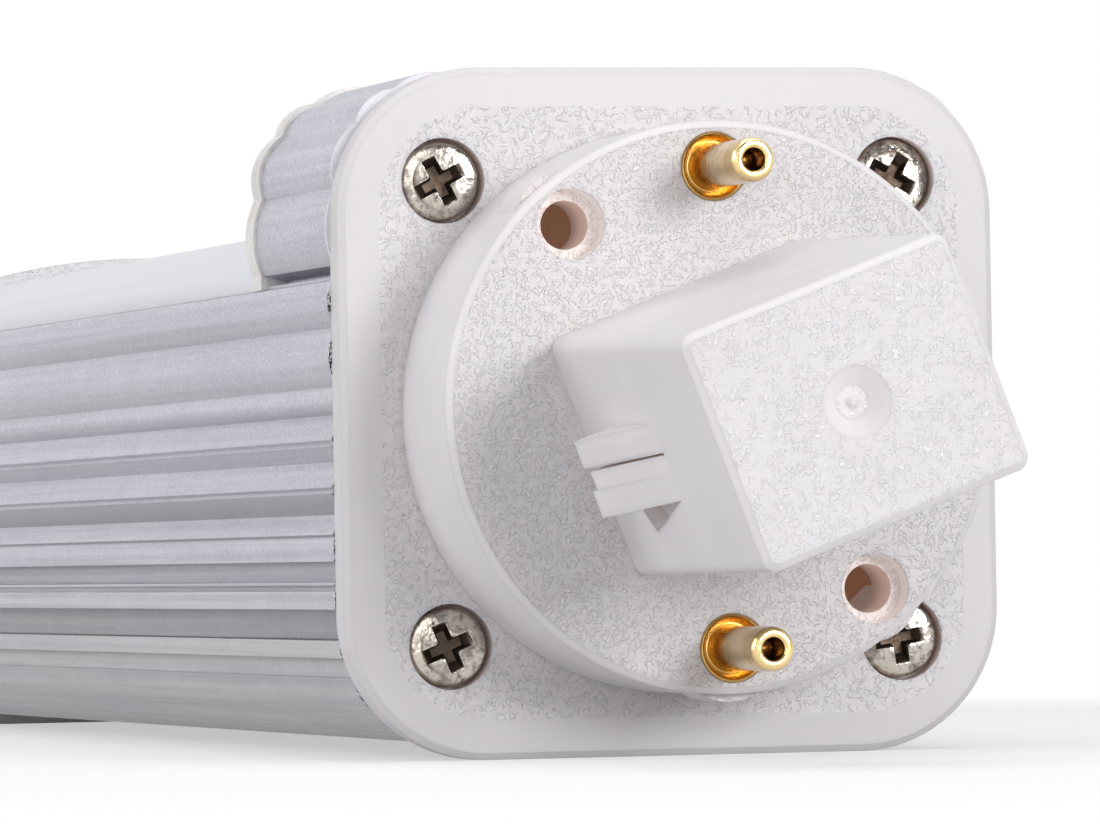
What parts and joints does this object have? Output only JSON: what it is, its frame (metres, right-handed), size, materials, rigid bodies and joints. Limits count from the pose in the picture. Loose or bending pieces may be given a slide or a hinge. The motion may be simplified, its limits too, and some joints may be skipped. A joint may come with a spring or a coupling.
{
  "type": "led plug-in lamp",
  "caption": "Two-pin plug-in lamp: moulded plug base with a hollow post and contact pins, on a finned extruded body with a frosted diffuser.",
  "frame": {"origin": "centre of the contact pin circle on the seating plane, the face of the boss that meets the lampholder", "axes": "-Y points out of the plug into the lampholder, +Y runs along the body to the far end cap, +Z is the side that gives light, +X is to the right seen from the plug's front"},
  "size_m": [0.0354, 0.1522, 0.0351],
  "materials": {
    "base_plastic": "satin moulded, fine spark-eroded texture",
    "contact_gold": "gold plated, polished",
    "screw_nickel": "nickel plated",
    "body_aluminium": "extruded, satin clear anodised",
    "divider_plastic": "matt moulded",
    "diffuser_plastic": "frosted, translucent",
    "led_board_mask": "white solder mask",
    "chip_phosphor": "cast silicone in a white frame",
    "sleeve_film": "folded insulating film",
    "driver_laminate": "green solder mask",
    "dark_sleeving": "shrink sleeving",
    "blue_dip": "dipped coating",
    "yellow_box": "moulded box",
    "black_epoxy": "moulded epoxy",
    "can_sleeve": "shrink sleeve over an aluminium can",
    "ferrite": "ground ferrite",
    "bobbin_plastic": "moulded bobbin with taped winding",
    "lead_white": "silicone insulation",
    "lead_red": "silicone insulation",
    "lead_black": "silicone insulation"
  },
  "bodies": {
    "root": {"base_cap": "base_plastic", "contact_pin_upper": "contact_gold", "contact_pin_lower": "contact_gold", "base_screws": "screw_nickel", "heat_sink": "body_aluminium", "driver_cover": "body_aluminium", "divider": "divider_plastic", "diffuser": "diffuser_plastic", "end_cap": "base_plastic", "end_screws": "screw_nickel", "led_board": "led_board_mask", "insulating_sleeve": "sleeve_film", "driver_board": "driver_laminate", "fuse": "dark_sleeving", "varistor": "blue_dip", "film_capacitor": "yellow_box", "choke": "dark_sleeving", "bridge_rectifier": "black_epoxy", "input_capacitor": "can_sleeve", "control_chip": "black_epoxy", "transformer_core": "ferrite", "transformer_bobbin": "bobbin_plastic", "safety_capacitor": "blue_dip", "output_diode": "black_epoxy", "output_capacitor": "can_sleeve", "mains_lead_upper": "lead_white", "mains_lead_lower": "lead_white", "led_lead_positive": "lead_red", "led_lead_negative": "lead_black", "led_chip_01": "chip_phosphor", "led_chip_02": "chip_phosphor", "led_chip_03": "chip_phosphor", "led_chip_04": "chip_phosphor", "led_chip_05": "chip_phosphor", "led_chip_06": "chip_phosphor", "led_chip_07": "chip_phosphor", "led_chip_08": "chip_phosphor", "led_chip_09": "chip_phosphor", "led_chip_10": "chip_phosphor", "led_chip_11": "chip_phosphor", "led_chip_12": "chip_phosphor", "led_chip_13": "chip_phosphor", "led_chip_14": "chip_phosphor", "led_chip_15": "chip_phosphor", "led_chip_16": "chip_phosphor", "led_chip_17": "chip_phosphor", "led_chip_18": "chip_phosphor", "led_chip_19": "chip_phosphor", "led_chip_20": "chip_phosphor", "led_chip_21": "chip_phosphor", "led_chip_22": "chip_phosphor", "led_chip_23": "chip_phosphor", "led_chip_24": "chip_phosphor"}
  },
  "joints": []
}
